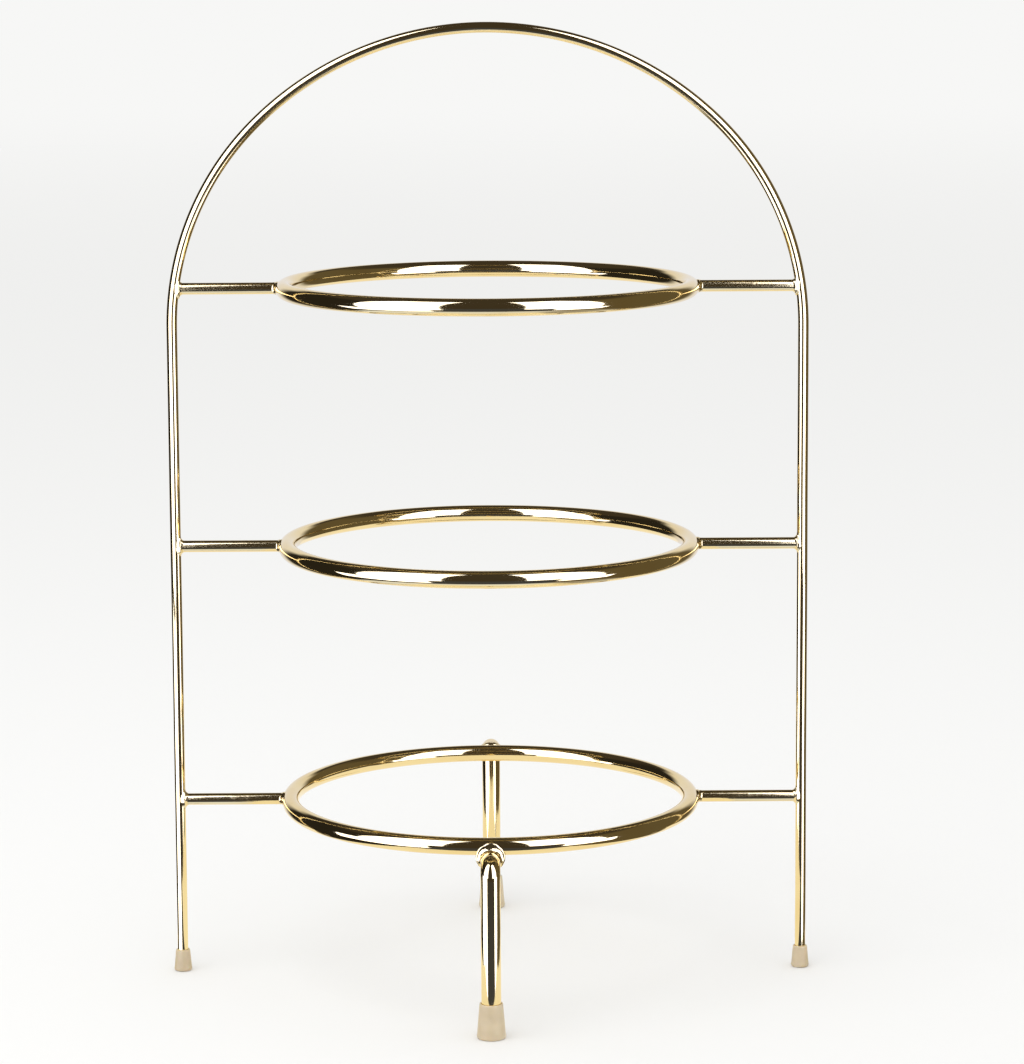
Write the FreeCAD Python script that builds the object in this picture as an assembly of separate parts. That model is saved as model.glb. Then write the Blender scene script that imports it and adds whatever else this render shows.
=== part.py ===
import FreeCAD, Part
import math
import os

# Three-tier plate stand of welded wire.  One thin rod is bent into an arch with
# two straight legs.  Three level rings of thicker wire sit inside the arch, each
# held by two short arms.  Two thick bent legs carry the bottom ring, the front
# one welded on lower than the rear one, and a soft cap is pushed on each of the
# four rod ends.
#
# Millimetres.  The origin is on the floor under the middle of the rings.
# +Z is up, +X runs along the arch to the right, +Y to the rear.

V = FreeCAD.Vector
UP = V(0, 0, 1)

# ---- overall sizes ----
STAND_WIDTH = 300.0         # across the arch rod's two straight legs, outside
STAND_HEIGHT = 450.0        # floor to the top of the arch
RING_OUTER_DIAMETER = 197.5

# ---- heights of the ring centre lines ----
BOTTOM_TIER_HEIGHT = 83.5   # above the floor
TOP_TIER_DROP = 123.0       # below the top of the arch

# ---- wire sizes, as diameters ----
ARCH_WIRE = 5.0
RING_WIRE = 8.0
ARM_WIRE = 5.5
LEG_WIRE = 9.0
WIRE_END_CHAMFER = 0.4

# ---- shape of the arch ----
CROWN_FLATTENING = 6.3      # crown radius less half the span, on the centre line
SHOULDER_TIGHTENING = 13.9  # half the span less shoulder radius, on the centre line

# ---- bent legs ----
FRONT_LEG_DROP = 5.4        # centre line of the front leg's stub below the ring's
LEG_STUB = 7.75             # from the ring's outer side to the start of the bend
LEG_BEND_INSIDE = 1.0       # radius on the inside of the bend

# ---- foot caps: wall at the rim, added radius at the base, height ----
CAP_FLOOR = 2.2             # solid plastic under a wire's end
CAP_BASE_ROUND = 1.1        # rounding of the edge that meets the floor
ARCH_CAP_WALL = 0.85
ARCH_CAP_FLARE = 0.9
ARCH_CAP_HEIGHT = 10.3
LEG_CAP_WALL = 0.8
LEG_CAP_FLARE = 1.3
LEG_CAP_HEIGHT = 16.0

# ---- joints between wires ----
SADDLE_SHARE = 0.4          # deepest wrap of a wire's end, as a share of the other's radius
ARM_WELD_LEG = 2.0          # how far an arm's weld runs along each of its two wires
LEG_WELD_LEG = 2.2
WELD_TOE = 0.15             # thickness of a weld at its blunt outer edge
OVAL_POINTS = 12            # points that each outline round a weld passes through

# ---- values that follow from the sizes above ----
half_span = (STAND_WIDTH - ARCH_WIRE) / 2
crown_radius = half_span + CROWN_FLATTENING
shoulder_radius = half_span - SHOULDER_TIGHTENING
crown_z = STAND_HEIGHT - ARCH_WIRE / 2 - crown_radius
centres_apart = crown_radius - shoulder_radius
spring_z = crown_z + math.sqrt(centres_apart ** 2 - SHOULDER_TIGHTENING ** 2)

ring_radius = (RING_OUTER_DIAMETER - RING_WIRE) / 2
top_tier_z = STAND_HEIGHT - TOP_TIER_DROP
tier_heights = {
    "bottom": BOTTOM_TIER_HEIGHT,
    "middle": (BOTTOM_TIER_HEIGHT + top_tier_z) / 2,
    "top": top_tier_z,
}

leg_bend_radius = LEG_BEND_INSIDE + LEG_WIRE / 2
leg_y = RING_OUTER_DIAMETER / 2 + LEG_STUB + leg_bend_radius

SIDES = {"left": -1, "right": 1}
ENDS = {"front": -1, "rear": 1}
leg_drops = {"front": FRONT_LEG_DROP, "rear": 0.0}


def stretches_along(edges, diameter):
    """Round wire along each line or arc in edges, one solid for each stretch."""
    stretches = []
    for edge in edges:
        start = edge.valueAt(edge.FirstParameter)
        heading = edge.tangentAt(edge.FirstParameter)
        section = Part.Face(Part.Wire(Part.makeCircle(diameter / 2, start, heading)))
        if isinstance(edge.Curve, Part.Circle):
            turn = math.degrees(edge.Length / edge.Curve.Radius)
            stretches.append(section.revolve(edge.Curve.Center, edge.Curve.Axis, turn))
        else:
            stretches.append(section.extrude(heading * edge.Length))
    return stretches


def arc(start, middle, end):
    return Part.Arc(start, middle, end).toShape()


def line(start, end):
    return Part.LineSegment(start, end).toShape()


def chamfer_end(wire, height):
    """Break the edge of the flat end that lies level at this height."""
    rims = []
    for edge in wire.Edges:
        box = edge.BoundBox
        level = box.ZLength < 1e-6 and abs(box.ZMin - height) < 1e-6
        if level and isinstance(edge.Curve, Part.Circle):
            rims.append(edge)
    return wire.makeChamfer(WIRE_END_CHAMFER, rims)


def arch_half_width(z):
    """Distance from the middle to the arch's centre line at height z."""
    if z <= spring_z:
        return half_span
    on_shoulder = SHOULDER_TIGHTENING + math.sqrt(shoulder_radius ** 2 - (z - spring_z) ** 2)
    shoulder_top_z = crown_z + (spring_z - crown_z) * crown_radius / centres_apart
    if z <= shoulder_top_z:
        return on_shoulder
    return math.sqrt(crown_radius ** 2 - (z - crown_z) ** 2)


def arch_frame():
    """One wire in five stretches, so that each can be taken for its own simple shape.

    They meet face to face: leg up, shoulder, crown, shoulder, leg down.
    """
    join = math.atan2(spring_z - crown_z, SHOULDER_TIGHTENING)
    half_turn = join / 2

    def on_shoulder(side, angle):
        x = SHOULDER_TIGHTENING + shoulder_radius * math.cos(angle)
        return V(side * x, 0, spring_z + shoulder_radius * math.sin(angle))

    left = [on_shoulder(-1, a) for a in (0, half_turn, join)]
    right = [on_shoulder(1, a) for a in (join, half_turn, 0)]
    apex = V(0, 0, crown_z + crown_radius)
    centre_line = [
        line(V(-half_span, 0, CAP_FLOOR), left[0]),
        arc(left[0], left[1], left[2]),
        arc(left[2], apex, right[0]),
        arc(right[0], right[1], right[2]),
        line(right[2], V(half_span, 0, CAP_FLOOR)),
    ]
    stretches = stretches_along(centre_line, ARCH_WIRE)
    for leg in (0, -1):
        stretches[leg] = chamfer_end(stretches[leg], CAP_FLOOR)
    return stretches


def ring(z):
    """Wire bent round and butt-welded into a closed ring."""
    return Part.makeTorus(ring_radius, RING_WIRE / 2, V(0, 0, z), UP)


def saddle_depth(met_radius, radius):
    """How far a wire's end reaches below the surface of the wire it meets."""
    deepest = SADDLE_SHARE * met_radius
    if radius >= met_radius:
        return deepest
    return min(deepest, met_radius - math.sqrt(met_radius ** 2 - radius ** 2) + WELD_TOE)


def arm(side, z, arch, tier_ring):
    """Straight wire from a ring's outer side to the arch, saddled at both ends."""
    arm_radius = ARM_WIRE / 2
    inner = RING_OUTER_DIAMETER / 2 - saddle_depth(RING_WIRE / 2, arm_radius)
    outer = arch_half_width(z) - ARCH_WIRE / 2 + saddle_depth(ARCH_WIRE / 2, arm_radius)
    bar = Part.makeCylinder(arm_radius, outer - inner, V(side * inner, 0, z), V(side, 0, 0))
    return largest_solid(bar.cut([*arch, tier_ring]))


def bent_leg(end, z, tier_ring):
    """Short stub off the ring's outer side at height z, a tight bend, then straight down."""
    root = RING_OUTER_DIAMETER / 2 - saddle_depth(RING_WIRE / 2, LEG_WIRE / 2)
    bend_start = leg_y - leg_bend_radius
    diagonal = leg_bend_radius * math.sqrt(0.5)
    middle = V(0, end * (bend_start + diagonal), z - leg_bend_radius + diagonal)
    bend_end = V(0, end * leg_y, z - leg_bend_radius)
    centre_line = [
        line(V(0, end * root, z), V(0, end * bend_start, z)),
        arc(V(0, end * bend_start, z), middle, bend_end),
        line(bend_end, V(0, end * leg_y, CAP_FLOOR)),
    ]
    stub, bend, upright = stretches_along(centre_line, LEG_WIRE)
    leg = stub.fuse([bend, chamfer_end(upright, CAP_FLOOR)]).removeSplitter()
    return largest_solid(leg.cut(tier_ring))


def foot_cap(x, y, wire, wall, flare, height):
    """Tapered cap with a blind bore that the wire's end is pushed into."""
    rim = wire / 2 + wall
    rim_round = 0.4 * wall
    outline = Part.makePolygon([
        V(0, 0, 0), V(rim + flare, 0, 0), V(rim, 0, height), V(0, 0, height), V(0, 0, 0)])
    body = Part.Face(outline).revolve(V(0, 0, 0), UP, 360)
    base_edges = [e for e in body.Edges if e.BoundBox.ZMax < 1e-6]
    body = body.makeFillet(min(CAP_BASE_ROUND, 0.8 * CAP_FLOOR), base_edges)
    rim_edges = [e for e in body.Edges if e.BoundBox.ZMin > height - 1e-6]
    body = body.makeFillet(rim_round, rim_edges)
    bore = Part.makeCylinder(wire / 2, height, V(0, 0, CAP_FLOOR))
    cap = body.cut(bore)
    cap.translate(V(x, y, 0))
    return largest_solid(cap)


def largest_solid(shape):
    return max(shape.Solids, key=lambda solid: solid.Volume)


def oval(centre, along, across, half_along, half_across):
    """Closed smooth outline, wider or narrower along one direction."""
    points = []
    for step in range(OVAL_POINTS):
        angle = 2 * math.pi * step / OVAL_POINTS
        points.append(centre + along * (half_along * math.cos(angle))
                      + across * (half_across * math.sin(angle)))
    curve = Part.BSplineCurve()
    curve.interpolate(Points=points, PeriodicFlag=True)
    return Part.Wire(curve.toShape())


def weld(foot, heading, along, radius, met_radius, leg, cutters, drop=0.0):
    """Hollow-faced fillet of weld metal round a wire that butts on another.

    foot is on the met wire's centre line, heading points out along the butting
    wire and along is the met wire's own direction.  Where the butting wire lies
    lower by drop, the metal climbs the met wire's face above it.
    """
    # (distance from the met wire's centre, half size along it, half size across it, climb)
    shoulder = max(radius + 2 * WELD_TOE, 0.93 * met_radius)
    climb = drop / 3
    stations = [
        (0.35 * met_radius, radius + leg, shoulder, climb),
        (met_radius, radius + 0.75 * leg, shoulder - 0.25 * (shoulder - radius), climb),
        (met_radius + 0.33 * leg, radius + 0.33 * leg,
         radius + 0.4 * (shoulder - radius), climb / 2),
        (met_radius + leg, radius + WELD_TOE, radius + WELD_TOE, 0),
    ]
    across = heading.cross(along)
    sections = []
    for t, half_along, half_across, lift in stations:
        centre = foot + heading * t + UP * (lift - drop)
        sections.append(oval(centre, along, across, half_along, half_across + lift))
    return largest_solid(Part.makeLoft(sections, True, False).cut(cutters))


def save(name, *solids):
    shape = solids[0] if len(solids) == 1 else Part.makeCompound(list(solids))
    for solid in solids:
        if not solid.isValid():
            raise ValueError(name + " is not a valid solid")
    shape.exportStep("parts/" + name + ".step")
    print(name, len(solids), round(sum(s.Volume for s in solids), 1))


os.makedirs("parts", exist_ok=True)

arch = arch_frame()
save("arch_frame", *arch)

rings = {tier: ring(z) for tier, z in tier_heights.items()}
for tier, z in tier_heights.items():
    save(tier + "_ring", rings[tier])
    arch_welds = []
    ring_welds = []
    for side_name, side in SIDES.items():
        bar = arm(side, z, arch, rings[tier])
        save(tier + "_" + side_name + "_arm", bar)

        arch_x = arch_half_width(z)
        arch_welds.append(weld(
            V(side * arch_x, 0, z), V(-side, 0, 0), UP,
            ARM_WIRE / 2, ARCH_WIRE / 2, ARM_WELD_LEG, [*arch, bar]))
        ring_welds.append(weld(
            V(side * ring_radius, 0, z), V(side, 0, 0), V(0, 1, 0),
            ARM_WIRE / 2, RING_WIRE / 2, ARM_WELD_LEG, [rings[tier], bar]))
    save(tier + "_arch_welds", *arch_welds)
    save(tier + "_ring_welds", *ring_welds)

leg_welds = []
for end_name, end in ENDS.items():
    drop = leg_drops[end_name]
    leg = bent_leg(end, BOTTOM_TIER_HEIGHT - drop, rings["bottom"])
    save(end_name + "_leg", leg)
    leg_welds.append(weld(
        V(0, end * ring_radius, BOTTOM_TIER_HEIGHT), V(0, end, 0), V(1, 0, 0),
        LEG_WIRE / 2, RING_WIRE / 2, LEG_WELD_LEG, [rings["bottom"], leg], drop))
    save(end_name + "_foot_cap", foot_cap(
        0, end * leg_y, LEG_WIRE, LEG_CAP_WALL, LEG_CAP_FLARE, LEG_CAP_HEIGHT))
save("leg_welds", *leg_welds)

for side_name, side in SIDES.items():
    save(side_name + "_foot_cap", foot_cap(
        side * half_span, 0, ARCH_WIRE, ARCH_CAP_WALL, ARCH_CAP_FLARE, ARCH_CAP_HEIGHT))
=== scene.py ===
import math

import bpy
from mathutils import Matrix, Vector, noise


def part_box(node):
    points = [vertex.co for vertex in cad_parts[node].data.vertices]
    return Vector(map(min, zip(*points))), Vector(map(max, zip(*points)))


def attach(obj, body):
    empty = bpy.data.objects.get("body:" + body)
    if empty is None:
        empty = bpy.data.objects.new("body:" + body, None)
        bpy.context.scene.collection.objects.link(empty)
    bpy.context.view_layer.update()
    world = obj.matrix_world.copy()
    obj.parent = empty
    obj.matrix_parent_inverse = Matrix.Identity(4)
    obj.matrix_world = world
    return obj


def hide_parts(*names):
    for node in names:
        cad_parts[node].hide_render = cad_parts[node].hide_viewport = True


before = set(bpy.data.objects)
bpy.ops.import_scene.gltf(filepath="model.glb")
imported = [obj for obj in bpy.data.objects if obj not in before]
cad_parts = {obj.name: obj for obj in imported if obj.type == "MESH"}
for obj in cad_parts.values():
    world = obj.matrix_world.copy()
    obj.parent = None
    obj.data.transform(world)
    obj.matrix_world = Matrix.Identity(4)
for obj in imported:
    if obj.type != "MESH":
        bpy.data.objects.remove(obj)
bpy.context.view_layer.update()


# ---- The arch ----
# One long rod of 5 mm steel wire, bent into a round-headed arch with two straight legs.
# It is polished before it is plated with pale gold, and its cut ends go down into the
# two side caps.

CROWN_FLATTENING = 0.0063     # crown radius less half the span, on the centre line
SHOULDER_TIGHTENING = 0.0139  # half the span less shoulder radius, on the centre line
ARC_STEP = math.radians(1.2)  # turn between two rings of points round a wire
LONG_STEP = 0.012             # longest distance between two such rings on a straight run
SIDES_OF_A_WIRE = 48
SMALLEST_SIZE = 0.0001        # sizes read from the frame are whole tenths of a millimetre
WANDER = 0.00025              # whole sideways play of a wire's centre line
WANDER_LENGTH = 0.070         # length of one wave of that play


def tenths(length):
    """Round a length to the nearest tenth of a millimetre."""
    return round(length / SMALLEST_SIZE) * SMALLEST_SIZE


def add_node(tree, kind, inputs=None, **settings):
    """Add a node with its settings; an input is a plain value or another node's output."""
    node = tree.nodes.new(kind)
    for name, value in settings.items():
        setattr(node, name, value)
    for socket, value in (inputs or {}).items():
        if isinstance(value, bpy.types.NodeSocket):
            tree.links.new(value, node.inputs[socket])
        else:
            node.inputs[socket].default_value = value
    return node


def maths(tree, operation, first, second=0.0):
    """The result of a Math node; each input is a number or another node's output."""
    return add_node(tree, "ShaderNodeMath", {0: first, 1: second}, operation=operation).outputs[0]


PALE_GOLD = (0.913, 0.735, 0.375, 1)
DEEP_GOLD = (0.880, 0.680, 0.320, 1)
TONE_CLOUD = 0.022            # length of one cloud of thicker plating
CLOUD_EDGES = (0.35, 0.65)    # noise values between which one tone turns into the other
DRAW_LINE = 0.00032           # width of a mark that the drawing die left
DRAW_LINE_SHAPE = 0.012       # its width over its length
DRAW_LINE_DEPTH = 0.05        # against the bump depth of the finish
PATCH = 0.011                 # length of a patch where the polish didn't take
PATCH_EDGES = (0.58, 0.74)
PEBBLE = 0.0009               # size of one grain in a patch
PIT_SPACING = 0.0032
PIT_EDGES = (0.05, 0.13)      # a pit's floor and its rim, against the spacing
PIT_DEPTH = 0.5               # against a pebble's height
POLISHING_WAVE = 0.007


def make_plating_finish():
    """Shared effect: how plating over polished steel varies from place to place."""
    group = bpy.data.node_groups.new("plating_finish", "ShaderNodeTree")
    sockets = (
        ("Place", "NodeSocketVector"), ("Lengthwise Place", "NodeSocketVector"),
        ("Pale Tone", "NodeSocketColor"), ("Deep Tone", "NodeSocketColor"),
        ("Least Roughness", "NodeSocketFloat"), ("Haze", "NodeSocketFloat"),
        ("Patch Grain", "NodeSocketFloat"), ("Even Grain", "NodeSocketFloat"),
        ("Waviness", "NodeSocketFloat"))
    for name, kind in sockets:
        group.interface.new_socket(name=name, in_out="INPUT", socket_type=kind)
    for name, kind in (("Tone", "NodeSocketColor"), ("Roughness", "NodeSocketFloat"),
                       ("Height", "NodeSocketFloat")):
        group.interface.new_socket(name=name, in_out="OUTPUT", socket_type=kind)
    given = group.nodes.new("NodeGroupInput").outputs
    place = given["Place"]

    def cloud(size, detail=2.0, where=place):
        """Noise with lumps of the given size."""
        return add_node(group, "ShaderNodeTexNoise", {
            "Vector": where, "Scale": 1 / size, "Detail": detail, "Roughness": 0.5},
            ).outputs["Fac"]

    # tone: thicker and thinner plating in soft clouds a few centimetres long
    thick = add_node(group, "ShaderNodeMapRange", {
        "Value": cloud(TONE_CLOUD), "From Min": CLOUD_EDGES[0], "From Max": CLOUD_EDGES[1]})
    tone = add_node(group, "ShaderNodeMix", {
        "Factor": thick.outputs[0], "A": given["Pale Tone"], "B": given["Deep Tone"]},
        data_type="RGBA")

    # draw lines: hair-fine marks that run along the wire and dull it a little
    stretched = add_node(group, "ShaderNodeMapping", {
        "Vector": given["Lengthwise Place"], "Scale": (1, 1, DRAW_LINE_SHAPE)})
    lines = cloud(DRAW_LINE, 3.0, stretched.outputs[0])

    # patches where the polish didn't take, with a fine pebbled grain in them
    patch = add_node(group, "ShaderNodeMapRange", {
        "Value": cloud(PATCH, 3.0), "From Min": PATCH_EDGES[0], "From Max": PATCH_EDGES[1]},
        interpolation_type="SMOOTHSTEP").outputs[0]
    pebbles = cloud(PEBBLE)
    pits = add_node(group, "ShaderNodeTexVoronoi", {"Vector": place, "Scale": 1 / PIT_SPACING})
    pit = add_node(group, "ShaderNodeMapRange", {
        "Value": pits.outputs["Distance"], "From Min": PIT_EDGES[0], "From Max": PIT_EDGES[1]},
        interpolation_type="SMOOTHSTEP").outputs[0]

    hazed = maths(group, "MULTIPLY", given["Haze"], maths(group, "ADD", patch, lines))
    roughness = maths(group, "ADD", given["Least Roughness"], hazed)

    # height: the grain, then long soft waves from polishing, then the draw lines
    grain_depth = maths(group, "ADD", given["Even Grain"],
                        maths(group, "MULTIPLY", given["Patch Grain"], patch))
    height = maths(group, "MULTIPLY", pebbles, grain_depth)
    pitted = maths(group, "MULTIPLY", pit, maths(group, "MULTIPLY", grain_depth, PIT_DEPTH))
    height = maths(group, "ADD", height, pitted)
    waves = maths(group, "MULTIPLY", cloud(POLISHING_WAVE, 1.0), given["Waviness"])
    height = maths(group, "ADD", height, waves)
    height = maths(group, "ADD", height, maths(group, "MULTIPLY", lines, DRAW_LINE_DEPTH))

    add_node(group, "NodeGroupOutput", {
        "Tone": tone.outputs["Result"], "Roughness": roughness, "Height": height})
    return group


def make_gold(name, lengthwise, least_roughness, haze, patch_grain, even_grain, waviness,
              bump_depth):
    """Gold plating; lengthwise is the attribute that follows a wire, or None for a weld."""
    gold = bpy.data.materials.new(name)
    gold.use_nodes = True
    tree = gold.node_tree
    place = add_node(tree, "ShaderNodeTexCoord").outputs["Object"]
    along = place
    if lengthwise:
        along = add_node(tree, "ShaderNodeAttribute", attribute_name=lengthwise).outputs["Vector"]
    finish = add_node(tree, "ShaderNodeGroup", node_tree=plating_finish)
    for socket, value in (("Place", place), ("Lengthwise Place", along)):
        tree.links.new(value, finish.inputs[socket])
    for socket, value in (("Pale Tone", PALE_GOLD), ("Deep Tone", DEEP_GOLD),
                          ("Least Roughness", least_roughness), ("Haze", haze),
                          ("Patch Grain", patch_grain), ("Even Grain", even_grain),
                          ("Waviness", waviness)):
        finish.inputs[socket].default_value = value
    bump = add_node(tree, "ShaderNodeBump", {
        "Height": finish.outputs["Height"], "Distance": bump_depth, "Strength": 1.0})
    shader = tree.nodes["Principled BSDF"]
    shader.inputs["Metallic"].default_value = 1.0
    tree.links.new(finish.outputs["Tone"], shader.inputs["Base Color"])
    tree.links.new(finish.outputs["Roughness"], shader.inputs["Roughness"])
    tree.links.new(bump.outputs["Normal"], shader.inputs["Normal"])
    return gold


plating_finish = make_plating_finish()
wire_gold = make_gold("polished_wire_gold", "wire_place", least_roughness=0.035, haze=0.06,
                      patch_grain=0.25, even_grain=0.0, waviness=1.5, bump_depth=0.000012)


def make_bent_wire_tree():
    """A centre line of points becomes round wire that wanders a little, as bent wire does."""
    tree = bpy.data.node_groups.new("bent_wire", "GeometryNodeTree")
    for name, kind in (("Centre Line", "NodeSocketGeometry"), ("Wire Diameter", "NodeSocketFloat"),
                       ("Sides", "NodeSocketInt"), ("Wander", "NodeSocketFloat"),
                       ("Wander Length", "NodeSocketFloat"), ("Finish", "NodeSocketMaterial")):
        tree.interface.new_socket(name=name, in_out="INPUT", socket_type=kind)
    tree.interface.new_socket(name="Wire", in_out="OUTPUT", socket_type="NodeSocketGeometry")
    given = tree.nodes.new("NodeGroupInput").outputs

    # the bender never leaves a run quite true: each point shifts a few hundredths of a millimetre
    drift = add_node(tree, "ShaderNodeTexNoise", {
        "Vector": add_node(tree, "GeometryNodeInputPosition").outputs[0],
        "Scale": maths(tree, "DIVIDE", 1.0, given["Wander Length"]), "Detail": 1.0})
    centred = add_node(tree, "ShaderNodeVectorMath", {
        0: drift.outputs["Color"], 1: (0.5, 0.5, 0.5)}, operation="SUBTRACT")
    shift = add_node(tree, "ShaderNodeVectorMath", {
        0: centred.outputs[0], "Scale": given["Wander"]}, operation="SCALE")
    wandered = add_node(tree, "GeometryNodeSetPosition", {
        "Geometry": given["Centre Line"], "Offset": shift.outputs[0]})
    path = add_node(tree, "GeometryNodeMeshToCurve", {"Mesh": wandered.outputs[0]})

    # each point of the wire knows its place round the section and its length along the wire
    along = add_node(tree, "GeometryNodeStoreNamedAttribute", {
        "Geometry": path.outputs[0], "Name": "along",
        "Value": add_node(tree, "GeometryNodeSplineParameter").outputs["Length"]},
        data_type="FLOAT", domain="POINT")
    section = add_node(tree, "GeometryNodeCurvePrimitiveCircle", {
        "Resolution": given["Sides"],
        "Radius": maths(tree, "MULTIPLY", given["Wire Diameter"], 0.5)})
    around = add_node(tree, "GeometryNodeStoreNamedAttribute", {
        "Geometry": section.outputs[0], "Name": "around",
        "Value": add_node(tree, "GeometryNodeInputPosition").outputs[0]},
        data_type="FLOAT_VECTOR", domain="POINT")
    tube = add_node(tree, "GeometryNodeCurveToMesh", {
        "Curve": along.outputs[0], "Profile Curve": around.outputs[0], "Fill Caps": True})
    on_section = add_node(tree, "ShaderNodeSeparateXYZ", {
        0: add_node(tree, "GeometryNodeInputNamedAttribute", {"Name": "around"},
                    data_type="FLOAT_VECTOR").outputs["Attribute"]})
    place = add_node(tree, "ShaderNodeCombineXYZ", {
        "X": on_section.outputs["X"], "Y": on_section.outputs["Y"],
        "Z": add_node(tree, "GeometryNodeInputNamedAttribute", {"Name": "along"},
                      data_type="FLOAT").outputs["Attribute"]})
    placed = add_node(tree, "GeometryNodeStoreNamedAttribute", {
        "Geometry": tube.outputs[0], "Name": "wire_place", "Value": place.outputs[0]},
        data_type="FLOAT_VECTOR", domain="POINT")
    for name in ("along", "around"):
        placed = add_node(tree, "GeometryNodeRemoveAttribute", {
            "Geometry": placed.outputs[0], "Name": name})

    smooth = add_node(tree, "GeometryNodeSetShadeSmooth", {"Geometry": placed.outputs[0]})
    real = add_node(tree, "GeometryNodeRealizeInstances", {"Geometry": smooth.outputs[0]})
    finished = add_node(tree, "GeometryNodeSetMaterial", {
        "Geometry": real.outputs[0], "Material": given["Finish"]})
    add_node(tree, "NodeGroupOutput", {"Wire": finished.outputs[0]})
    return tree


bent_wire = make_bent_wire_tree()


def set_inputs(modifier, values):
    """Give a tree's named inputs their values, by the sockets' own identifiers."""
    for item in modifier.node_group.interface.items_tree:
        if item.item_type == "SOCKET" and item.in_out == "INPUT" and item.name in values:
            modifier[item.identifier] = values[item.name]


def lay_piece(name, mesh, node):
    """Put a finished mesh on the stand in place of the CAD node that it stands for."""
    piece = bpy.data.objects.new(name, mesh)
    bpy.context.scene.collection.objects.link(piece)
    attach(piece, "root")
    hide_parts(node)
    return piece


def wire_piece(name, node, points, diameter, finish, closed=False):
    """Sweep a wire along its centre line and lay it in place of a CAD node."""
    count = len(points)
    edges = [(i, (i + 1) % count) for i in range(count if closed else count - 1)]
    centre_line = bpy.data.meshes.new(name + "_centre_line")
    centre_line.from_pydata(points, edges, [])
    maker = bpy.data.objects.new(name + "_maker", centre_line)
    bpy.context.scene.collection.objects.link(maker)
    sweep = maker.modifiers.new("bent_wire", "NODES")
    sweep.node_group = bent_wire
    set_inputs(sweep, {
        "Wire Diameter": diameter, "Sides": SIDES_OF_A_WIRE, "Wander": WANDER,
        "Wander Length": WANDER_LENGTH, "Finish": finish})
    depsgraph = bpy.context.evaluated_depsgraph_get()
    swept = bpy.data.meshes.new_from_object(
        maker.evaluated_get(depsgraph), preserve_all_data_layers=True, depsgraph=depsgraph)
    bpy.data.objects.remove(maker)
    return lay_piece(name, swept, node)


def straight(start, end, longest_step):
    """Points in even steps from start up to, but without, end."""
    steps = max(1, math.ceil((end - start).length / longest_step))
    return [start.lerp(end, i / steps) for i in range(steps)]


arch_lowest, arch_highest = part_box("arch_frame")
arch_wire = tenths(arch_highest.y - arch_lowest.y)
half_span = tenths((arch_highest.x - arch_lowest.x - arch_wire) / 2)
crown_radius = half_span + CROWN_FLATTENING
shoulder_radius = half_span - SHOULDER_TIGHTENING
crown_z = tenths(arch_highest.z) - arch_wire / 2 - crown_radius
centres_apart = crown_radius - shoulder_radius
spring_z = crown_z + math.sqrt(centres_apart ** 2 - SHOULDER_TIGHTENING ** 2)
cut_end_z = tenths(arch_lowest.z)
X, Y, Z = Vector((1, 0, 0)), Vector((0, 1, 0)), Vector((0, 0, 1))

shoulder_turn = math.atan2(spring_z - crown_z, SHOULDER_TIGHTENING)
crown_turn = math.pi - 2 * shoulder_turn
crown_start = math.pi - shoulder_turn
spring = X * half_span + Z * spring_z
left_spring = Vector((-spring.x, 0, spring.z))
left_centre = Vector((-SHOULDER_TIGHTENING, 0, spring_z))
right_centre = Vector((SHOULDER_TIGHTENING, 0, spring_z))


def on_circle(centre, radius, start, turn):
    """Points clockwise round a circle in the arch's plane, without the last one."""
    steps = math.ceil(turn / ARC_STEP)
    angles = [start - turn * i / steps for i in range(steps)]
    return [centre + (X * math.cos(a) + Z * math.sin(a)) * radius for a in angles]


arch_points = straight(Vector((-half_span, 0, cut_end_z)), left_spring, LONG_STEP)
arch_points += on_circle(left_centre, shoulder_radius, math.pi, shoulder_turn)
arch_points += on_circle(Vector((0, 0, crown_z)), crown_radius, crown_start, crown_turn)
arch_points += on_circle(right_centre, shoulder_radius, shoulder_turn, shoulder_turn)
arch_points += straight(spring, Vector((half_span, 0, cut_end_z)), LONG_STEP)
arch_points.append(Vector((half_span, 0, cut_end_z)))
wire_piece("arch_rod", "arch_frame", arch_points, arch_wire, wire_gold)


# ---- The three rings ----
# Level rings of 8 mm wire, bent round, butt-welded and ground flush before plating, so that
# the joint doesn't show.  A plate stands on each.

TIERS = ("bottom", "middle", "top")
POINTS_ROUND_A_RING = 384

ring_lowest, ring_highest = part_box("bottom_ring")
ring_wire = tenths(ring_highest.z - ring_lowest.z)
ring_radius = tenths(ring_highest.x) - ring_wire / 2
tier_z = {}
for tier in TIERS:
    lowest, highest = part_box(tier + "_ring")
    tier_z[tier] = (lowest.z + highest.z) / 2
    ring_points = []
    for i in range(POINTS_ROUND_A_RING):
        angle = 2 * math.pi * i / POINTS_ROUND_A_RING
        ring_points.append(Vector((
            ring_radius * math.cos(angle), ring_radius * math.sin(angle), tier_z[tier])))
    wire_piece(tier + "_ring_wire", tier + "_ring", ring_points, ring_wire, wire_gold,
               closed=True)


# ---- The six arms ----
# Short straight pieces of 5.5 mm wire that hold each ring inside the arch.  Both ends are
# cut to a saddle and butt against the ring and the arch.

SIDES = {"left": -1, "right": 1}
SADDLE = 0.0015     # how far an arm's end reaches into the ring's wire
ARM_STEP = 0.004

arm_gold = make_gold("hammered_arm_gold", "wire_place", least_roughness=0.05, haze=0.06,
                     patch_grain=1.2, even_grain=0.45, waviness=1.5, bump_depth=0.000014)

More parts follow.
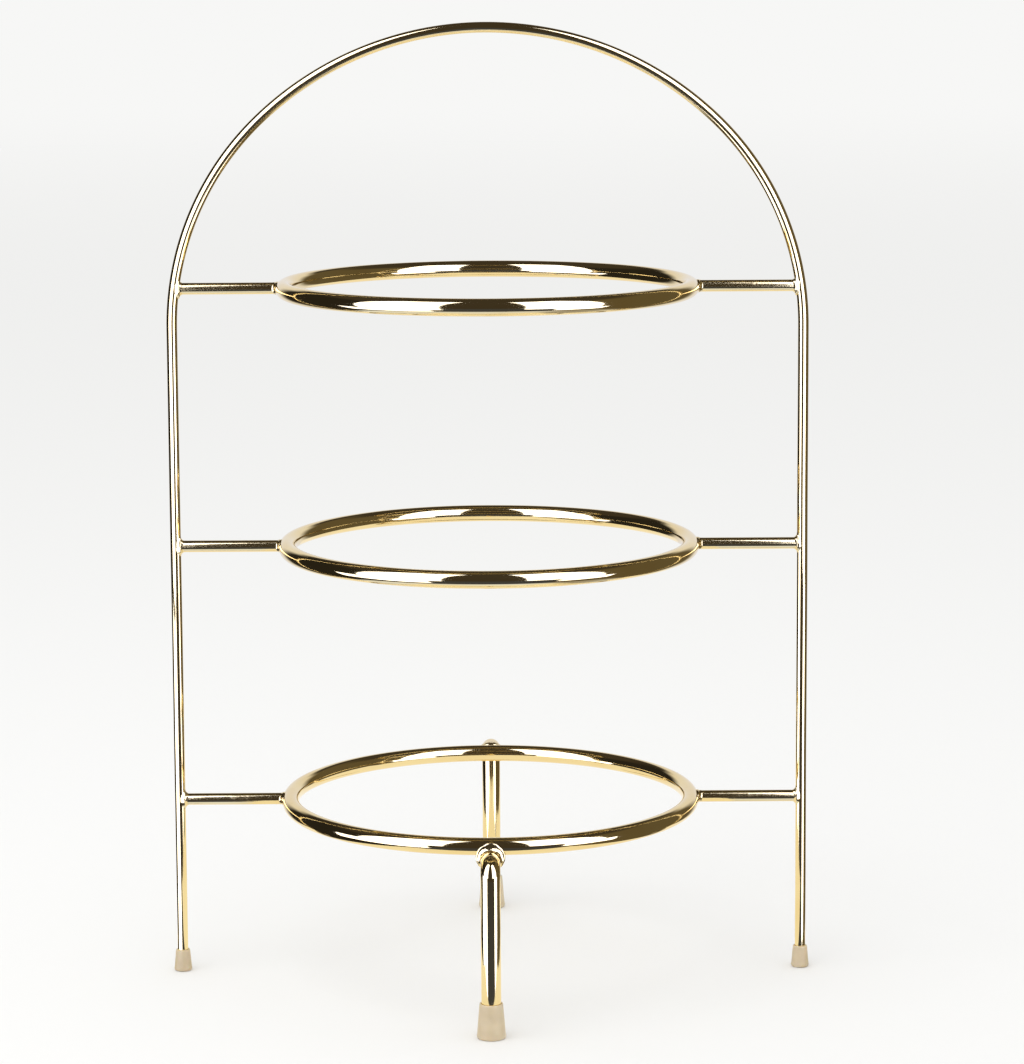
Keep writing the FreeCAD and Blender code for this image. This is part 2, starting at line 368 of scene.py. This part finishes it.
arm_lowest, arm_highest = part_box("bottom_left_arm")
arm_wire = tenths(arm_highest.z - arm_lowest.z)
for tier in TIERS:
    arm_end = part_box(tier + "_right_arm")[1].x
    for side_name, side in SIDES.items():
        inner = Vector((side * (ring_radius + ring_wire / 2 - SADDLE), 0, tier_z[tier]))
        outer = Vector((side * arm_end, 0, tier_z[tier]))
        arm_points = straight(inner, outer, ARM_STEP) + [outer]
        wire_piece(tier + "_" + side_name + "_arm_wire", tier + "_" + side_name + "_arm",
                   arm_points, arm_wire, arm_gold)


# ---- The two bent legs ----
# Thick 9 mm wire, front and rear.  Each starts with a stub welded to the bottom ring's
# outer side, turns down through a tight bend and ends in a cap.  The front stub is welded
# on lower than the rear one.

ENDS = {"front": -1, "rear": 1}
LEG_BEND_INSIDE = 0.001     # radius on the inside of the bend
STUB_STEP = 0.002
LEG_STEP = 0.006


def bend(centre, first_arm, second_arm, turn):
    """Points round a bend from centre + first_arm, without its last point.

    The two arms have the bend's radius and stand at right angles.
    """
    steps = max(2, math.ceil(abs(turn) / ARC_STEP))
    return [centre + first_arm * math.cos(turn * i / steps)
            + second_arm * math.sin(turn * i / steps) for i in range(steps)]


leg_lowest, leg_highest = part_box("rear_leg")
leg_wire = tenths(leg_highest.x - leg_lowest.x)
leg_y = tenths(leg_highest.y) - leg_wire / 2
leg_bend_radius = LEG_BEND_INSIDE + leg_wire / 2
stub_z = {}
for end_name, end in ENDS.items():
    out = Y * end
    stub_z[end_name] = tenths(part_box(end_name + "_leg")[1].z) - leg_wire / 2
    stub_start = out * (ring_radius + ring_wire / 2 - SADDLE) + Z * stub_z[end_name]
    bend_start = out * (leg_y - leg_bend_radius) + Z * stub_z[end_name]
    bend_centre = bend_start - Z * leg_bend_radius
    bend_end = bend_centre + out * leg_bend_radius
    foot_end = out * leg_y + Z * cut_end_z
    leg_points = straight(stub_start, bend_start, STUB_STEP)
    leg_points += bend(bend_centre, Z * leg_bend_radius, out * leg_bend_radius, math.pi / 2)
    leg_points += straight(bend_end, foot_end, LEG_STEP) + [foot_end]
    wire_piece(end_name + "_leg_wire", end_name + "_leg", leg_points, leg_wire, wire_gold)


# ---- The welds ----
# A bead of weld metal fills the corner all round each place where one wire butts on
# another.  It is left as laid, a little lumpy and most so at the legs, and plated with the
# rest.

ARM_WELD_REACH = 0.0020     # how far an arm's bead runs along each of its two wires
LEG_WELD_REACH = 0.0022
WELD_CROWN = 0.00025        # least thickness of a bead over the wires' sides
BEAD_SIDES = 48
BEAD_STEPS = 14
STEP_GROWTH = 1.5           # steps are short at a bead's foot and grow along the wire
ROOT_DEPTHS = (0.4, 0.7, 0.9)   # sections inside the met wire, against its radius
ROOT_WIDTH = 0.97           # a bead's half-width at its start, against the met wire's radius
FULL_DEPTH = 0.7            # where a bead has swelled to its full width
LARGE_ROOT = 0.35           # where a leg's bead starts, instead of the ring wire's middle
CLIMB = 0.75                # how far up the ring's face the front leg's bead climbs
RAGGED_EDGE = 0.15          # how much a bead's reach comes and goes round it
EDGE_SINK = 0.00008         # a bead's far edge ends just under the wire's surface
LUMP_HEIGHT = 0.00016
LARGE_LUMPS = 2.0           # how much higher the lumps are on a leg's bead
LUMP_SIZE = 0.0013

weld_gold = make_gold("as_laid_weld_gold", None, least_roughness=0.08, haze=0.10,
                      patch_grain=3.0, even_grain=3.0, waviness=4.0, bump_depth=0.000020)


def hollow(u):
    """Height of a hollow corner fillet: 1 at its foot, 0 at its far edge."""
    return 1 - math.sqrt(max(0.0, 1 - (1 - u) ** 2))


def bead(points, faces, foot, heading, along, radius, met_radius, reach, seed, drop=None):
    """Add a closed bead round a wire that butts on another.

    foot is where the butting wire's centre line, drawn on, passes the middle of the met
    wire.  heading points along the butting wire, away from the met one, and along points
    along the met one.  Only a leg's large bead has a drop: its foot is that much lower than
    the ring wire's middle, and the bead climbs the ring's face to make up for it.
    """
    across = heading.cross(along)
    large = drop is not None
    root = LARGE_ROOT if large else 0.0
    lump_height = LUMP_HEIGHT * (LARGE_LUMPS if large else 1.0)
    depths = [part * met_radius for part in (root, *ROOT_DEPTHS)]
    depths += [met_radius + reach * (i / BEAD_STEPS) ** STEP_GROWTH
               for i in range(BEAD_STEPS + 1)]
    first = len(points)
    for depth in depths:
        # u is 0 as far as the met wire's surface, then grows to 1 at the bead's far edge
        u = max(0.0, (depth - met_radius) / reach)
        swell = min(1.0, depth / (FULL_DEPTH * met_radius))
        side = ROOT_WIDTH * met_radius * (1 - swell) + (radius + WELD_CROWN) * swell
        face_radius = met_radius + 2 * WELD_CROWN
        face = math.sqrt(max(0.0, face_radius ** 2 - min(depth, met_radius) ** 2))
        climb = max(0.0, drop + CLIMB * face - radius) * hollow(u) if large else 0.0
        centre = foot + heading * depth + Z * climb / 2
        for step in range(BEAD_SIDES):
            angle = 2 * math.pi * step / BEAD_SIDES
            facing = along * math.cos(angle) + across * math.sin(angle)
            spot = centre + facing * radius
            lump = noise.noise(spot / LUMP_SIZE + Vector((seed, 0, 0)))
            lump += 0.5 * noise.noise(spot / (0.4 * LUMP_SIZE) + Vector((0, 0, seed)))
            unevenness = noise.noise(facing * 1.3 + Vector((0, seed, 0)))
            reach_here = reach * (1 + RAGGED_EDGE * unevenness)
            half_along = radius + reach_here * hollow(u)
            half_across = side if u == 0 else radius + WELD_CROWN * hollow(u)
            half_across += climb / 2
            outline = along * half_along * math.cos(angle) + across * half_across * math.sin(angle)
            rise = lump_height * lump * swell * (1 - u)
            points.append(centre + outline + facing * (rise - EDGE_SINK * u))
    ring_count = len(depths)
    for ring in range(ring_count - 1):
        for step in range(BEAD_SIDES):
            following = (step + 1) % BEAD_SIDES
            low, high = first + ring * BEAD_SIDES, first + (ring + 1) * BEAD_SIDES
            faces.append((low + step, low + following, high + following, high + step))
    start, last = first, first + (ring_count - 1) * BEAD_SIDES
    faces.append(tuple(start + step for step in reversed(range(BEAD_SIDES))))
    faces.append(tuple(last + step for step in range(BEAD_SIDES)))


def bead_piece(name, node, beads):
    """Make one mesh of a few beads and lay it in place of a CAD node."""
    points, faces = [], []
    for each in beads:
        bead(points, faces, *each)
    mesh = bpy.data.meshes.new(name)
    mesh.from_pydata(points, [], faces)
    mesh.polygons.foreach_set("use_smooth", [True] * len(mesh.polygons))
    mesh.materials.append(weld_gold)
    return lay_piece(name, mesh, node)


def arch_half_width(z):
    """Distance from the middle to the arch's centre line at height z."""
    if z <= spring_z:
        return half_span
    return SHOULDER_TIGHTENING + math.sqrt(shoulder_radius ** 2 - (z - spring_z) ** 2)


for tier_number, tier in enumerate(TIERS):
    z = tier_z[tier]
    arch_beads, ring_beads = [], []
    for side in SIDES.values():
        seed = 10 * tier_number + 3 * side
        arch_beads.append((X * side * arch_half_width(z) + Z * z, -X * side, Z,
                           arm_wire / 2, arch_wire / 2, ARM_WELD_REACH, seed))
        ring_beads.append((X * side * ring_radius + Z * z, X * side, Y,
                           arm_wire / 2, ring_wire / 2, ARM_WELD_REACH, seed + 50))
    bead_piece(tier + "_arch_weld_beads", tier + "_arch_welds", arch_beads)
    bead_piece(tier + "_ring_weld_beads", tier + "_ring_welds", ring_beads)
leg_beads = []
for end_name, end in ENDS.items():
    leg_beads.append((Y * end * ring_radius + Z * stub_z[end_name], Y * end, X,
                      leg_wire / 2, ring_wire / 2, LEG_WELD_REACH, 90 + end,
                      tier_z["bottom"] - stub_z[end_name]))
bead_piece("leg_weld_beads", "leg_welds", leg_beads)


# ---- The four foot caps ----
# Soft milky plastic, moulded as a tapered cup with a blind bore.  Each is pushed up over
# a wire's end, and keeps the cut metal off the table.

CAP_SIDES = 72
BASE_STEPS, SIDE_STEPS, BORE_STEPS = 4, 8, 6
CAP_BASE_ROUND = 0.0011
ARCH_CAP = {"wall": 0.00085, "flare": 0.0009}
LEG_CAP = {"wall": 0.0008, "flare": 0.0013}
BORE_PLAY = 0.00003         # keeps the plastic just clear of the wire
MILKY_PALE = (0.690, 0.580, 0.400, 1)
MILKY_DEEP = (0.610, 0.500, 0.330, 1)
MILKY_CLOUD = 0.009
SKIN_GRAIN = 0.0006
SKIN_DEPTH = 0.00002
SKIN_ROUGHNESS = (0.36, 0.52)
LIGHT_SOAK = 0.7            # share of the light that goes into the plastic
SOAK_DEPTH = 0.0016         # how deep red light goes; green and blue go less deep
SOAK_COLOURS = (1.0, 0.75, 0.45)


def make_milky_plastic():
    """Soft plastic with faint clouds in it and a fine matt skin."""
    milky = bpy.data.materials.new("milky_cap_plastic")
    milky.use_nodes = True
    tree = milky.node_tree
    place = add_node(tree, "ShaderNodeTexCoord").outputs["Object"]
    clouds = add_node(tree, "ShaderNodeTexNoise", {
        "Vector": place, "Scale": 1 / MILKY_CLOUD, "Detail": 2.0, "Roughness": 0.5})
    spread = add_node(tree, "ShaderNodeMapRange", {
        "Value": clouds.outputs["Fac"], "From Min": CLOUD_EDGES[0],
        "From Max": CLOUD_EDGES[1]})
    tone = add_node(tree, "ShaderNodeMix", {
        "Factor": spread.outputs[0], "A": MILKY_DEEP, "B": MILKY_PALE}, data_type="RGBA")
    skin = add_node(tree, "ShaderNodeTexNoise", {
        "Vector": place, "Scale": 1 / SKIN_GRAIN, "Detail": 2.0})
    rough = add_node(tree, "ShaderNodeMapRange", {
        "Value": skin.outputs["Fac"], "To Min": SKIN_ROUGHNESS[0], "To Max": SKIN_ROUGHNESS[1]})
    bump = add_node(tree, "ShaderNodeBump", {
        "Height": skin.outputs["Fac"], "Distance": SKIN_DEPTH, "Strength": 1.0})
    shader = tree.nodes["Principled BSDF"]
    shader.inputs["IOR"].default_value = 1.49
    shader.inputs["Subsurface Weight"].default_value = LIGHT_SOAK
    shader.inputs["Subsurface Radius"].default_value = SOAK_COLOURS
    shader.inputs["Subsurface Scale"].default_value = SOAK_DEPTH
    tree.links.new(tone.outputs["Result"], shader.inputs["Base Color"])
    tree.links.new(rough.outputs[0], shader.inputs["Roughness"])
    tree.links.new(bump.outputs["Normal"], shader.inputs["Normal"])
    return milky


milky_plastic = make_milky_plastic()


def rounded_edge(centre_r, centre_z, radius, start, end, steps=8):
    """Points round an edge in a cap's section, from one angle in degrees to another."""
    angles = [math.radians(start + (end - start) * i / steps) for i in range(steps + 1)]
    return [(centre_r + radius * math.cos(a), centre_z + radius * math.sin(a)) for a in angles]


def cap_piece(name, node, x, y, wire, wall, flare):
    """Lathe one cap: base, tapered side, rounded rim, bore and bore floor."""
    height = tenths(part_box(node)[1].z)
    bore = wire / 2 + BORE_PLAY
    rim = wire / 2 + wall
    base = rim + flare
    outline = [(base * i / BASE_STEPS, 0.0) for i in range(1, BASE_STEPS)]
    outline += rounded_edge(base - CAP_BASE_ROUND, CAP_BASE_ROUND, CAP_BASE_ROUND, -90, 0)
    for i in range(1, SIDE_STEPS):
        z = CAP_BASE_ROUND + (height - CAP_BASE_ROUND) * i / SIDE_STEPS
        outline.append((base - flare * z / height, z))
    rim_round = (rim - bore) / 2
    outline += rounded_edge(rim - rim_round, height - rim_round, rim_round, 0, 180)
    outline += [(bore, height - (height - cut_end_z) * i / BORE_STEPS)
                for i in range(1, BORE_STEPS + 1)]
    points = [Vector((x, y, 0))]
    for radius, z in outline:
        for step in range(CAP_SIDES):
            angle = 2 * math.pi * step / CAP_SIDES
            points.append(Vector((x + radius * math.cos(angle), y + radius * math.sin(angle), z)))
    points.append(Vector((x, y, cut_end_z)))
    faces = []
    for step in range(CAP_SIDES):
        following = (step + 1) % CAP_SIDES
        faces.append((0, 1 + following, 1 + step))
        for ring in range(len(outline) - 1):
            low, high = 1 + ring * CAP_SIDES, 1 + (ring + 1) * CAP_SIDES
            faces.append((low + step, low + following, high + following, high + step))
        last = 1 + (len(outline) - 1) * CAP_SIDES
        faces.append((last + step, last + following, len(points) - 1))
    mesh = bpy.data.meshes.new(name)
    mesh.from_pydata(points, [], faces)
    mesh.polygons.foreach_set("use_smooth", [True] * len(mesh.polygons))
    mesh.materials.append(milky_plastic)
    return lay_piece(name, mesh, node)


for side_name, side in SIDES.items():
    cap_piece(side_name + "_cap_moulding", side_name + "_foot_cap", side * half_span, 0,
              arch_wire, **ARCH_CAP)
for end_name, end in ENDS.items():
    cap_piece(end_name + "_cap_moulding", end_name + "_foot_cap", 0, end * leg_y,
              leg_wire, **LEG_CAP)


# ---- The floor ----
# A wide pale studio floor, painted matt.  It fades into the backdrop far behind the stand
# and leaves no mark on the metal, which shows the glowing panel of the next section instead.

FLOOR_RADIUS = 9.0
FLOOR_SIDES = 96
FADE_START = 3.0
PALE_FLOOR = (0.86, 0.86, 0.85, 1)

floor_mesh = bpy.data.meshes.new("studio_floor")
floor_points = [(0, 0, 0)]
for step in range(FLOOR_SIDES):
    angle = 2 * math.pi * step / FLOOR_SIDES
    floor_points.append((FLOOR_RADIUS * math.cos(angle), FLOOR_RADIUS * math.sin(angle), 0))
floor_faces = [(0, 1 + i, 1 + (i + 1) % FLOOR_SIDES) for i in range(FLOOR_SIDES)]
floor_mesh.from_pydata(floor_points, [], floor_faces)
floor = bpy.data.objects.new("studio_floor", floor_mesh)
bpy.context.scene.collection.objects.link(floor)
floor.visible_glossy = False

floor_paint = bpy.data.materials.new("pale_floor_paint")
floor_paint.use_nodes = True
tree = floor_paint.node_tree
far = add_node(tree, "ShaderNodeVectorMath", {
    0: add_node(tree, "ShaderNodeTexCoord").outputs["Object"]}, operation="LENGTH")
fade = add_node(tree, "ShaderNodeMapRange", {
    "Value": far.outputs["Value"], "From Min": FADE_START, "From Max": FLOOR_RADIUS,
    "To Min": 1.0, "To Max": 0.0}, interpolation_type="SMOOTHSTEP")
shader = tree.nodes["Principled BSDF"]
shader.inputs["Base Color"].default_value = PALE_FLOOR
shader.inputs["Roughness"].default_value = 0.9
shader.inputs["Specular IOR Level"].default_value = 0.0
tree.links.new(fade.outputs[0], shader.inputs["Alpha"])
floor_mesh.materials.append(floor_paint)


# ---- The studio ----
# Two tall soft lamps stand left and right in front, with a dark gap between them; a white
# sheet hangs behind, and the walls are dim.  Bright metal shows them all; everything else
# gets even soft light.

# turn from the camera to the right in degrees, height in degrees, softness of the edges
# in degrees, colour
WALLS = (
    ((40, 152), (-60, 46), 14, (0.120, 0.100, 0.062)),
    ((-152, -60), (-60, 40), 14, (0.022, 0.020, 0.018)),
    ((-40, 40), (-60, -14), 8, (0.055, 0.062, 0.090)),
)
ROOM_DARK = (0.050, 0.042, 0.034, 1)
SHEET_WHITE = (0.84, 0.84, 0.88, 1)
SHEET_SIDE = (140, 158)     # turn to either side where the sheet fades in
SHEET_HEIGHTS = (-50, 27, 8)    # lowest, highest, softness
FAR_TABLE_EDGE = (-49, -55)     # height where the table fades in
FAR_TABLE_WHITE = (0.84, 0.93, 1.25, 1)
FAR_TABLE_SHADE = (0.38, 0.38, 0.42, 1)
SHADED_TURNS = (50, 130, 40)    # the table is shaded on the right: from, to, softness
BACKDROP_WHITE = (0.93, 0.93, 0.92, 1)
EVEN_WHITE = (1.0, 1.0, 1.0, 1)

# each lamp is two upright panels, the lower one set wider: the two ends of the panel's
# foot, seen from above, and its lowest and highest edge
FRONT_LAMPS = {
    "left_softbox_upper": ((-0.62, -0.22), (-0.19, -0.45), 0.10, 1.50),
    "left_softbox_lower": ((-0.60, -0.05), (-0.25, -0.42), -0.12, 0.10),
    "right_softbox_upper": ((0.19, -0.56), (0.54, -0.31), 0.10, 1.50),
    "right_softbox_lower": ((0.34, -0.45), (0.58, -0.25), -0.12, 0.10),
}
LAMP_BRIGHTNESS = 4.5       # radiance of a lamp's face in its strongest colour
LAMP_COLOUR = (0.62, 0.68, 1.0)

# outline of the glowing panel that stands in for the table close to the stand, wider behind the
# arch than in front
NEAR_TABLE = ((-0.12, -0.165), (0.12, -0.165), (0.12, 0.03), (0.20, 0.03),
              (0.20, 0.70), (-0.20, 0.70), (-0.20, 0.03), (-0.12, 0.03))
# colour of that panel's glow, a painted reflection of the lit table
NEAR_TABLE_GLOW = (1.0, 0.98, 0.93, 1)

OVERHEAD_PLACE = (-0.5, -0.6, 1.6)
OVERHEAD_AIM = (0, 0, 0.2)
OVERHEAD_SIZE = (1.2, 0.9)
OVERHEAD_WATTS = 6.0

world = bpy.data.worlds.new("studio")
world.use_nodes = True
world.cycles.sampling_method = "NONE"
bpy.context.scene.world = world
tree = world.node_tree
towards = add_node(tree, "ShaderNodeSeparateXYZ", {
    0: add_node(tree, "ShaderNodeTexCoord").outputs["Generated"]}).outputs
turn = maths(tree, "DEGREES", maths(tree, "ARCTAN2", towards["X"],
                                   maths(tree, "MULTIPLY", towards["Y"], -1.0)))
rise = maths(tree, "DEGREES", maths(tree, "ARCSINE", towards["Z"]))


def ramp(value, start, end):
    """0 before start, 1 after end, smooth between; start may be the larger."""
    if start > end:
        return maths(tree, "SUBTRACT", 1.0, ramp(value, end, start))
    return add_node(tree, "ShaderNodeMapRange", {
        "Value": value, "From Min": start, "From Max": end},
        interpolation_type="SMOOTHSTEP").outputs[0]


def band(value, low, high, soft):
    """1 between low and high, 0 outside, with a soft edge centred on each."""
    return maths(tree, "MULTIPLY", ramp(value, low - soft / 2, low + soft / 2),
                 ramp(value, high + soft / 2, high - soft / 2))


def lay_over(under, over, mask):
    """One colour over another where the mask is 1."""
    mixed = add_node(tree, "ShaderNodeMix", {
        "Factor": mask, "A": under, "B": over}, data_type="RGBA")
    return mixed.outputs["Result"]


# what the metal shows in each direction, laid one over the other from the room inwards
seen = add_node(tree, "ShaderNodeRGB").outputs[0]
seen.default_value = ROOM_DARK
for turns, heights, soft, colour in WALLS:
    mask = maths(tree, "MULTIPLY", band(turn, *turns, soft), band(rise, *heights, soft))
    seen = lay_over(seen, (*colour, 1), mask)
behind = ramp(maths(tree, "ABSOLUTE", turn), *SHEET_SIDE)
seen = lay_over(seen, SHEET_WHITE, maths(tree, "MULTIPLY", behind, band(rise, *SHEET_HEIGHTS)))
table_tone = lay_over(FAR_TABLE_WHITE, FAR_TABLE_SHADE, band(turn, *SHADED_TURNS))
seen = lay_over(seen, table_tone, ramp(rise, *FAR_TABLE_EDGE))

# dull surfaces get even light, and the camera gets the backdrop
light_path = add_node(tree, "ShaderNodeLightPath").outputs
even_light = add_node(tree, "ShaderNodeRGB").outputs[0]
even_light.default_value = EVEN_WHITE
seen = lay_over(seen, even_light, light_path["Is Diffuse Ray"])
seen = lay_over(seen, BACKDROP_WHITE, light_path["Is Camera Ray"])
tree.links.new(seen, tree.nodes["Background"].inputs["Color"])

for name, (first, second, lowest, highest) in FRONT_LAMPS.items():
    first, second = Vector((*first, 0)), Vector((*second, 0))
    across = second - first
    lamp_data = bpy.data.lights.new(name, "AREA")
    lamp_data.shape = "RECTANGLE"
    lamp_data.size = across.length
    lamp_data.size_y = highest - lowest
    lamp_data.color = LAMP_COLOUR
    lamp_data.energy = LAMP_BRIGHTNESS * math.pi * lamp_data.size * lamp_data.size_y
    lamp = bpy.data.objects.new(name, lamp_data)
    lamp.location = (first + second) / 2 + Z * (lowest + highest) / 2
    lamp.rotation_euler = across.cross(Z).to_track_quat("Z", "Y").to_euler()
    lamp.visible_camera = False
    lamp.visible_diffuse = False
    bpy.context.scene.collection.objects.link(lamp)

# a panel that glows where the table is, close to the stand: its glow is a painted reflection of
# the table and shows in the metal only
table_glow_paint = bpy.data.materials.new("glowing_table_in_the_metal")
table_glow_paint.use_nodes = True
shader = table_glow_paint.node_tree.nodes["Principled BSDF"]
shader.inputs["Base Color"].default_value = (0, 0, 0, 1)
shader.inputs["Specular IOR Level"].default_value = 0.0
# the panel glows though it is no lamp: a painted reflection of the lit table
shader.inputs["Emission Color"].default_value = NEAR_TABLE_GLOW
shader.inputs["Emission Strength"].default_value = 1.0
table_mesh = bpy.data.meshes.new("glowing_studio_table")
table_mesh.from_pydata([(x, y, 0) for x, y in NEAR_TABLE], [], [range(len(NEAR_TABLE))])
table_mesh.materials.append(table_glow_paint)
table = bpy.data.objects.new("glowing_studio_table", table_mesh)
bpy.context.scene.collection.objects.link(table)
table.visible_camera = False
table.visible_diffuse = False
table.visible_shadow = False

# one more soft lamp overhead gives the caps their faint shadows; the metal doesn't show it
lamp_data = bpy.data.lights.new("overhead_softbox", "AREA")
lamp_data.shape = "RECTANGLE"
lamp_data.size, lamp_data.size_y = OVERHEAD_SIZE
lamp_data.energy = OVERHEAD_WATTS
lamp = bpy.data.objects.new("overhead_softbox", lamp_data)
lamp.location = OVERHEAD_PLACE
beam = Vector(OVERHEAD_AIM) - lamp.location
lamp.rotation_euler = beam.to_track_quat("-Z", "Y").to_euler()
lamp.visible_glossy = False
lamp.visible_camera = False
bpy.context.scene.collection.objects.link(lamp)

bpy.context.scene.view_settings.view_transform = "Standard"


# ---- The camera ----
# It stands almost square in front, a little above the arch's head, and looks slightly down.
# Its picture is shifted a little, which keeps the sides of the arch nearly upright.

CAMERA_PLACE = (0.0046, -1.700, 0.4904)
CAMERA_PITCH = 0.1382       # downwards, in radians
CAMERA_TURN = 0.0038        # to the right, in radians
CAMERA_ROLL = -0.0054       # in radians
CAMERA_LENS = 123.8         # in millimetres
CAMERA_SHIFT = -0.0846      # as a part of the picture's longer side

camera_data = bpy.data.cameras.new("camera")
camera_data.lens = CAMERA_LENS
camera_data.shift_y = CAMERA_SHIFT
camera = bpy.data.objects.new("camera", camera_data)
camera.location = CAMERA_PLACE
aim = Matrix.Rotation(-CAMERA_TURN, 3, "Z") @ Matrix.Rotation(math.pi / 2 - CAMERA_PITCH, 3, "X")
camera.rotation_euler = (aim @ Matrix.Rotation(CAMERA_ROLL, 3, "Z")).to_euler()
bpy.context.scene.collection.objects.link(camera)
bpy.context.scene.camera = camera
